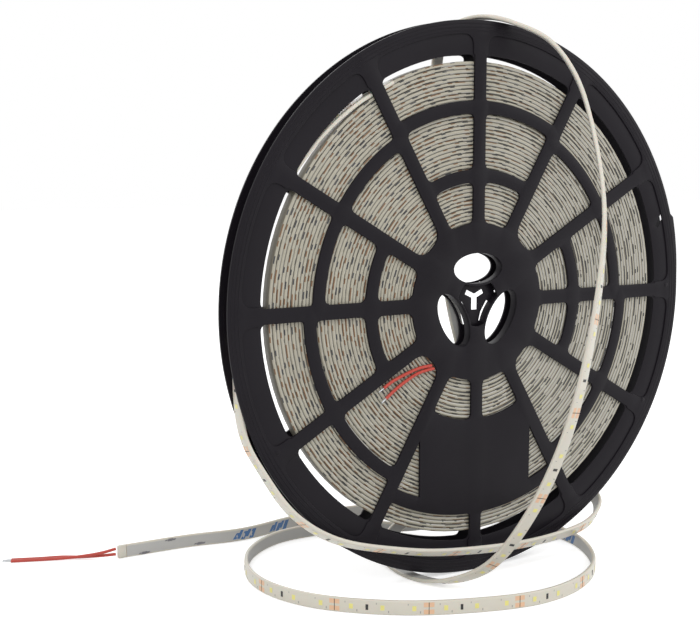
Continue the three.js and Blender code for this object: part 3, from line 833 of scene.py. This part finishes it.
class REEL_OT_leads(bpy.types.Operator):
    """Makes the covered leads with their bare tips"""

    bl_idname = "reel.leads"
    bl_label = "Leads"
    TIP_ROOT = 0.5 * MM

    def execute(self, context):
        strip = context.scene.strip_reel_strip
        red = material("red cover", strip.red, 0.42, 120, 0.06, 0.12)
        metal = (("Metallic", 1),)
        tin = material("tinned strands", strip.tin, 0.34, 400, 0.12, 0.3, metal)
        for name, points in LEAD_ROUTES.items():
            centres = [centre for centre, _ in smooth_route(points)]
            ribbon = Ribbon(centres, [Vector((0, 0, 1))] * len(centres))
            tube = sweep(f"{name}_cover", ribbon, circle(strip.lead / 2, 14))
            cover = show(f"{name}_cover", tube, red, [name])
            start = ribbon.centres[-1]
            way = (start - ribbon.centres[-3]).normalized()
            far = start + way * self.tip_reach(name, start)
            twist = strands(f"{name}_strands", start - way * self.TIP_ROOT, far, strip.tip / 2)
            tip = show(f"{name}_strands", twist, tin, [f"{name}_tip"])
        return {"FINISHED"}

    def tip_reach(self, node, start):
        """How far the tip's solid reaches past the end of its cover."""
        low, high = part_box(f"{node}_tip")
        return max(abs(low[0] - start.x), abs(high[0] - start.x))


class REEL_OT_coil(bpy.types.Operator):
    """Winds the strip on the drum, turn on turn"""

    bl_idname = "reel.coil"
    bl_label = "Coil"

    def execute(self, context):
        strip = context.scene.strip_reel_strip
        coil = context.scene.strip_reel_coil
        count = coil.turns * coil.steps
        leave = math.atan2(STRIP_ROUTE[0][0][2], STRIP_ROUTE[0][0][0])
        centres = []
        ways = []
        for i in range(count + 1):
            share = i / count
            turn = share * coil.turns
            left = coil.turns - turn
            angle = leave - 2 * math.pi * left
            # The turns lie a little unevenly, and the last one comes back to the middle.
            drift = 0.16 * math.sin(2.4 * turn) + 0.12 * math.sin(7.1 * turn + 1.3)
            if left < 1:
                drift *= math.sin(math.pi * left)
            way = Vector((math.cos(angle), 0, math.sin(angle)))
            radius = coil.inner + (coil.outer - coil.inner) * share
            centres.append(way * radius + Vector((0, drift * MM, 0)))
            ways.append(way)
        ribbon = Ribbon(centres, ways)
        section = self.section(strip)
        mesh = sweep("strip_coil", ribbon, section, 60)
        self.map_strip(mesh, ribbon, section)
        show("strip_coil", mesh, coil_material(coil, strip.cell), ["wound_strip"])
        return {"FINISHED"}

    def section(self, strip):
        """The sleeve's section, a little thinner, so that the turns show a cleft between."""
        thick = strip.thickness / 2 - 0.05 * MM
        wide = strip.width / 2 - 0.15 * MM
        edge = 0.62 * MM
        flat = wide - edge
        side = [(thick, flat), (thick - edge, wide), (edge - thick, wide), (-thick, flat)]
        return side + [(x, -y) for x, y in reversed(side)]

    def map_strip(self, mesh, ribbon, section):
        """Writes the distance along the strip and the place round its section."""
        layer = mesh.uv_layers.new(name="Strip")
        count = len(section)
        thick = max(x for x, _ in section)
        for corner in mesh.loops:
            ring, k = divmod(corner.vertex_index, count)
            place = 1.5 - 1.5 * section[k][0] / thick
            layer.data[corner.index].uv = (ribbon.travel[ring], place)


# ---- the reel's halves, in mm ----

SECTOR = 2 * math.pi / 12
# Each ring's inner radius and its width, and the ring that crosses each sector
RINGS = {"low": (100.8, 7.2), "high": (106.2, 7.2), "label": (115.6, 8.0)}
SECTOR_RINGS = ("low", "low", "high", "high") * 2 + ("label", "label", "high", "high")
INNER_RING = (67.9, 7.4)
OPEN_TO_HUB = (1, 4, 7, 10)
LABEL_HALF_WIDTH = 39.4
HOLE_LENGTH, HOLE_WIDTH, HOLE_CENTRE = 34.0, 17.5, 19.2
HOLE_ANGLES = [math.radians(90) + i * 2 * math.pi / 3 for i in range(3)]
RECESS = 14.0
SLEEVE = 1.2
# Heights over the reel's middle plane, and the thickness of the drum's wall and of the web
PLATE_INNER, PLATE_OUTER = 4.4, 5.7
HALF_START, WEB_START = 0.15, 1.35
DRUM_WALL, WEB = 1.8, 0.6
# How far the raised plate, the drum's wall and the web reach into what carries them
PLATE_LAP, WALL_LAP, WEB_LAP = 0.2, 0.5, 1.1
WALL_BEVEL, WEB_BEVEL = 0.1, 0.15
SLIT_COURSE = ((9.6, -0.2), (5.6, -6.4), (4.3, -11.4))
SLIT_WIDTH = 2.2
RIDGES = (151.5, 153.5, 155.5)
PIPS = (1, -28, -151)
PIP_PLACE = 148.05
# The tie-off lip's angle and span in degrees and its rise, and of the slot beside it the
# radius, the slope in degrees, half the length and half the width
LIP_ANGLE, LIP_SPAN, LIP_RISE = 17, 14, 1.8
TIE_SLOT = (148, 57, 4.5, 1.3)
# The most of its room that a window's corner takes, and half a step in a spoke's width
CORNER_SHARE = 0.97
STEP_HALF = 0.6


def bend(first, corner, last, steps=5):
    """A rounded corner between two points."""
    points = []
    for k in range(steps + 1):
        t = k / steps
        points.append(first * (1 - t) ** 2 + corner * (2 * t * (1 - t)) + last * t**2)
    return points


def arc(radius, start, end, steps=14):
    return [polar(radius, start + (end - start) * k / steps) for k in range(1, steps)]


def window(sector, inner, outer, spoke, corners, wider=None):
    """A window between two spokes, which may be wider from some radius outwards."""
    start = sector * SECTOR
    end = start + SECTOR
    inner_corner, outer_corner = corners
    step, top_spoke = wider or (None, spoke)

    def lean(radius, width):
        return math.asin(width / 2 / radius)

    def beside(radius, width):
        return polar(radius, start + lean(radius, width))

    small = min(inner_corner, CORNER_SHARE * (SECTOR / 2 - lean(inner, spoke)) * inner)
    foot = lean(inner, spoke) + small / inner
    top = lean(outer, top_spoke) + outer_corner / outer
    side = bend(polar(inner, start + foot), beside(inner, spoke), beside(inner + small, spoke))
    if wider:
        side += [beside(step - STEP_HALF, spoke), beside(step + STEP_HALF, top_spoke)]
    high = outer - outer_corner
    side += bend(beside(high, top_spoke), beside(outer, top_spoke), polar(outer, start + top))
    middle = polar(1, start + SECTOR / 2)
    far_side = [middle * (2 * point.dot(middle)) - point for point in reversed(side)]
    over, under = arc(outer, start + top, end - top), arc(inner, end - foot, start + foot)
    return side + over + far_side + under


def label_window(side, spoke):
    """The three-cornered window beside the blank label plate."""
    spoke_angle = math.radians(-90) + side * SECTOR
    inward = polar(-side * spoke / 2, spoke_angle + math.pi / 2)
    along = polar(1, spoke_angle)
    apex = inward + along * ((side * LABEL_HALF_WIDTH - inward.x) / along.x)
    ring = RINGS["label"][0]
    foot = spoke_angle - side * math.asin(spoke / 2 / ring)
    plate = -math.acos(side * LABEL_HALF_WIDTH / ring)
    arc_points = [polar(ring, foot + (plate - foot) * k / 8) for k in range(9)]
    return [apex, *arc_points]


def windows(reel, pockets):
    """All windows of a flange; with pockets the outer ones take in the rim's pockets."""
    spoke, plate, opening = (in_mm(size) for size in (reel.spoke, reel.plate, reel.opening))
    if pockets:
        rim, corners, wider = in_mm(reel.radius - reel.band), (2, 7), (opening, spoke + 2)
    else:
        rim, corners, wider = opening, (2, 4), None
    found = []
    for sector, ring in enumerate(SECTOR_RINGS):
        inner, width = RINGS[ring]
        found.append(window(sector, inner + width, rim, spoke, corners, wider))
        if sector in OPEN_TO_HUB:
            found.append(window(sector, plate, inner, spoke, (8, 4)))
            continue
        found.append(window(sector, plate, INNER_RING[0], spoke, (4, 4)))
        if ring != "label":
            found.append(window(sector, sum(INNER_RING), inner, spoke, (4, 4)))
    found += [label_window(side, spoke) for side in (-1, 1)]
    return found


def ellipse(angle, grow, count=64):
    """The outline of the spindle hole at an angle, grown on all sides."""
    centre = polar(HOLE_CENTRE, angle)
    along = polar(HOLE_LENGTH / 2 + grow, angle - math.pi / 2)
    out = polar(HOLE_WIDTH / 2 + grow, angle)
    return [centre + along * way.x + out * way.y for way in circle(1, count)]


def recess(grow, count=180):
    """The outline of the sunk centre, between the sleeves of the spindle holes."""
    a = HOLE_WIDTH / 2 + SLEEVE - grow
    b = HOLE_LENGTH / 2 + SLEEVE - grow
    outline = []
    for way in circle(1, count):
        reach = RECESS + grow
        for angle in HOLE_ANGLES:
            x = way.dot(polar(1, angle))
            y = way.dot(polar(1, angle - math.pi / 2))
            lead = (x / a) ** 2 + (y / b) ** 2
            half = x * HOLE_CENTRE / a**2
            rest = (HOLE_CENTRE / a) ** 2 - 1
            inside = half**2 - lead * rest
            if inside > 0 and half > 0:
                reach = min(reach, (half - math.sqrt(inside)) / lead)
        outline.append(way * reach)
    return outline


def rim_outline(radius, with_lip):
    """The rim; the front one has a small tie-off lip that steps out and dies away."""
    points = []
    for i in range(360):
        degrees = i + 0.5
        past = LIP_ANGLE - degrees
        rise = LIP_RISE * (1 - past / LIP_SPAN) if with_lip and 0 <= past < LIP_SPAN else 0
        points.append(polar(radius + rise, math.radians(degrees)))
    return points


def tie_slot():
    """The outline of the slanted slot in the rim beside the lip."""
    radius, slope, half_length, half_width = TIE_SLOT
    centre = polar(radius, math.radians(LIP_ANGLE))
    along = polar(half_length, math.radians(slope))
    across = polar(half_width, math.radians(slope + 90))
    return [centre + along * x + across * y for x, y in ((-1, -1), (1, -1), (1, 1), (-1, 1))]


def thick_line(course, width):
    """The outline of a bent bar of one width along a course of three points."""
    a, b, c = (Vector(point) for point in course)
    side_one = (b - a).normalized().orthogonal() * width / 2
    side_two = (c - b).normalized().orthogonal() * width / 2
    middle = (side_one + side_two) / 2
    return [a - side_one, b - middle, c - side_two, c + side_two, b + middle, a + side_one]


def y_slot():
    """The outline of the Y-shaped slot in the centre's web."""
    rise, arm, slope, half, stem, stem_half = 2.9, 5.2, math.radians(25), 1.4, 5.6, 2.0
    way = polar(1, slope)
    side = polar(1, slope + math.pi / 2)
    fork = Vector((0, rise))
    end = fork + way * (arm + half)
    right = [
        Vector((stem_half, rise - stem - stem_half)),
        Vector((stem_half, rise + stem_half * math.tan(slope) - half / math.cos(slope))),
        end - side * half,
        end + side * half,
    ]
    top = Vector((0, rise + half / math.cos(slope)))
    left = [Vector((-point.x, point.y)) for point in reversed(right)]
    return [*right, top, *left]


class REEL_OT_halves(bpy.types.Operator):
    """Moulds the reel's two halves with their spokes, rings, hub and rims"""

    bl_idname = "reel.halves"
    bl_label = "Reel halves"

    def execute(self, context):
        reel = context.scene.strip_reel_reel
        matte = (("Specular IOR Level", 0.13),)
        plastic = material("moulded plastic", reel.plastic, 0.42, 28, 0.22, 0.25, matte)
        for name, node, turn in (
            ("front_half", "front_flange", 1),
            ("rear_half", "rear_flange", -1),
        ):
            mesh = self.half(reel, turn > 0)
            mesh.name = name
            for vertex in mesh.vertices:
                x, y, z = vertex.co
                vertex.co = (turn * x, -turn * z, y)
            show(name, mesh, plastic, [node])
        return {"FINISHED"}

    def half(self, reel, in_front):
        """One half, lying flat with its outer face up, made in mm and then scaled.

        The lip, the sleeves of the holes and the centre's web belong to the front half.
        """
        bevel, relief, drum, radius = (
            in_mm(size) for size in (reel.bevel, reel.relief, reel.drum, reel.radius)
        )
        step = PLATE_OUTER - relief
        holes = [ellipse(angle, 0) for angle in HOLE_ANGLES]
        cuts = [*holes, recess(0)]
        rim = rim_outline(radius, in_front)
        low_plate = [rim, *windows(reel, False), *cuts, tie_slot()]
        wall = [circle(drum), circle(drum - DRUM_WALL)]
        parts = [
            flat_solid(low_plate, PLATE_INNER, step, bevel / 2),
            flat_solid([rim, *windows(reel, True), *cuts], step - PLATE_LAP, PLATE_OUTER, bevel),
            flat_solid(wall, HALF_START, PLATE_INNER + WALL_LAP, WALL_BEVEL),
        ]
        if in_front:
            top = PLATE_OUTER - PLATE_LAP
            for angle, hole in zip(HOLE_ANGLES, holes):
                sleeve = [ellipse(angle, SLEEVE), hole]
                parts.append(flat_solid(sleeve, HALF_START, top, WEB_BEVEL))
            slits = [
                thick_line([(side * x, y) for x, y in SLIT_COURSE], SLIT_WIDTH)
                for side in (-1, 1)
            ]
            web = [recess(WEB_LAP), y_slot(), *slits]
            parts.append(flat_solid(web, WEB_START, WEB_START + WEB, WEB_BEVEL))
        parts += [self.ridge(ridge) for ridge in RIDGES]
        parts += [self.pip(angle) for angle in PIPS]
        whole = bmesh.new()
        for part in parts:
            piece = bpy.data.meshes.new("part")
            part.to_mesh(piece)
            part.free()
            whole.from_mesh(piece)
            bpy.data.meshes.remove(piece)
        bmesh.ops.scale(whole, verts=whole.verts, vec=(MM, MM, MM))
        mesh = bpy.data.meshes.new("reel half")
        whole.to_mesh(mesh)
        whole.free()
        mesh.shade_smooth()
        for face in mesh.polygons:
            face.use_smooth = abs(face.normal.z) < 0.999
        mesh.set_sharp_from_angle(angle=math.radians(50))
        return mesh

    def ridge(self, radius, count=240):
        """A fine raised line round the rim."""
        solid = bmesh.new()
        profile = ((-0.45, -0.2), (-0.15, 0.16), (0.15, 0.16), (0.45, -0.2))
        rings = [
            [solid.verts.new((*way * (radius + out), PLATE_OUTER + up)) for out, up in profile]
            for way in circle(1, count)
        ]
        for a, b in zip(rings, rings[1:] + rings[:1]):
            for k in range(len(profile)):
                solid.faces.new((a[k - 1], b[k - 1], b[k], a[k]))
        bmesh.ops.recalc_face_normals(solid, faces=solid.faces)
        return solid

    def pip(self, degrees):
        """A small round pip left by the mould on the rim."""
        solid = bmesh.new()
        bmesh.ops.create_uvsphere(solid, u_segments=20, v_segments=10, radius=1.5)
        place = polar(PIP_PLACE, math.radians(degrees))
        bmesh.ops.scale(solid, verts=solid.verts, vec=(1, 1, 0.3))
        bmesh.ops.translate(solid, verts=solid.verts, vec=(*place, PLATE_OUTER))
        return solid


class REEL_PT_panel(bpy.types.Panel):
    """Lists the pieces of the reel in the order in which they are made"""

    bl_label = "Strip reel"
    bl_idname = "REEL_PT_panel"
    bl_space_type = "VIEW_3D"
    bl_region_type = "UI"
    bl_category = "Strip reel"

    def draw(self, context):
        for operator in OPERATORS:
            self.layout.operator(operator.bl_idname)


SETTINGS = {
    "strip_reel_strip": StripSettings,
    "strip_reel_coil": CoilSettings,
    "strip_reel_reel": ReelSettings,
    "strip_reel_stage": StageSettings,
}
OPERATORS = (
    REEL_OT_stage,
    REEL_OT_loose_strip,
    REEL_OT_leads,
    REEL_OT_coil,
    REEL_OT_halves,
)


def register():
    for item in (*SETTINGS.values(), *OPERATORS, REEL_PT_panel):
        bpy.utils.register_class(item)
    for name, group in SETTINGS.items():
        setattr(bpy.types.Scene, name, PointerProperty(type=group))


def unregister():
    for name in SETTINGS:
        delattr(bpy.types.Scene, name)
    for item in (REEL_PT_panel, *reversed(OPERATORS), *reversed(SETTINGS.values())):
        bpy.utils.unregister_class(item)


def main():
    register()
    bpy.ops.reel.stage()
    bpy.ops.reel.loose_strip()
    bpy.ops.reel.leads()
    bpy.ops.reel.coil()
    bpy.ops.reel.halves()


if __name__ == "__main__":
    main()
